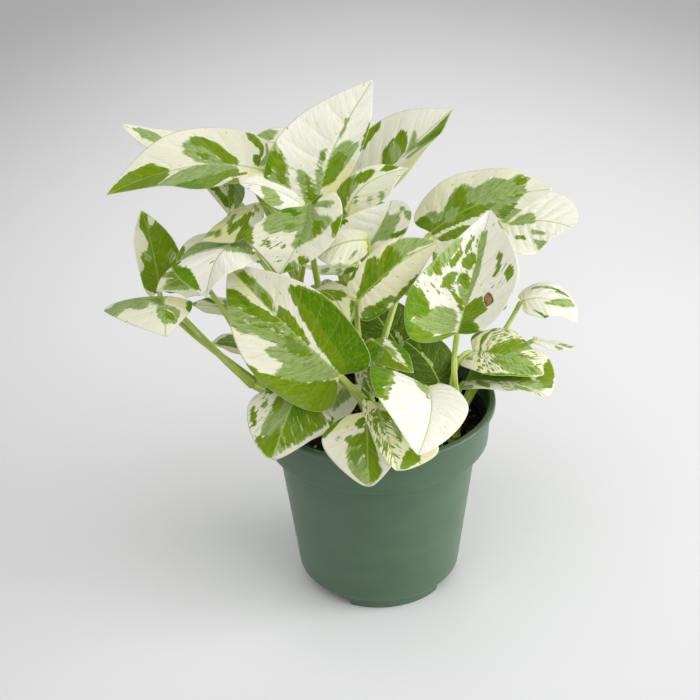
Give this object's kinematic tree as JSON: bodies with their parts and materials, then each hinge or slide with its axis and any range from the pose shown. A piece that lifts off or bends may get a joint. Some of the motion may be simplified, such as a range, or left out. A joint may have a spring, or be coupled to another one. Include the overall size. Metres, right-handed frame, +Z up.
{
  "type": "potted variegated pothos",
  "caption": "Bushy white and green variegated pothos, heart-shaped leaves on curved stalks, rooted in potting mix in a round green nursery pot.",
  "frame": {"origin": "middle of the pot's flat underside, on the surface it stands on", "axes": "+Z up along the pot's axis; -Y towards the picture's camera; +X to the right seen from the front"},
  "size_m": [0.2136, 0.1855, 0.2272],
  "materials": {
    "pot": "satin moulded green plastic",
    "soil": "black potting mix of peat, bark and grit",
    "stalk": "smooth waxy green stem and stalks",
    "leaf": "glossy leaf, cream and green variegation"
  },
  "bodies": {
    "root": {"pot": "pot", "soil": "soil", "vine_a": "stalk", "vine_b": "stalk", "vine_c": "stalk", "vine_d": "stalk", "vine_e": "stalk", "vine_f": "stalk", "vine_g": "stalk", "vine_h": "stalk", "vine_i": "stalk", "vine_j": "stalk", "leaf_a1": "leaf", "leaf_a2": "leaf", "leaf_a3": "leaf", "leaf_a4": "leaf", "leaf_a5": "leaf", "leaf_b1": "leaf", "leaf_b2": "leaf", "leaf_b3": "leaf", "leaf_b4": "leaf", "leaf_b5": "leaf", "leaf_b6": "leaf", "leaf_b7": "leaf", "leaf_c1": "leaf", "leaf_c2": "leaf", "leaf_c3": "leaf", "leaf_c4": "leaf", "leaf_c5": "leaf", "leaf_d1": "leaf", "leaf_d2": "leaf", "leaf_d3": "leaf", "leaf_d4": "leaf", "leaf_d5": "leaf", "leaf_e1": "leaf", "leaf_e2": "leaf", "leaf_e3": "leaf", "leaf_f1": "leaf", "leaf_f2": "leaf", "leaf_f3": "leaf", "leaf_f4": "leaf", "leaf_f5": "leaf", "leaf_g1": "leaf", "leaf_g2": "leaf", "leaf_g3": "leaf", "leaf_g4": "leaf", "leaf_h1": "leaf", "leaf_h2": "leaf", "leaf_h3": "leaf", "leaf_h4": "leaf", "leaf_h5": "leaf", "leaf_i1": "leaf", "leaf_i2": "leaf", "leaf_i3": "leaf", "leaf_j1": "leaf", "leaf_j2": "leaf", "leaf_j3": "leaf", "leaf_j4": "leaf"}
  },
  "joints": []
}
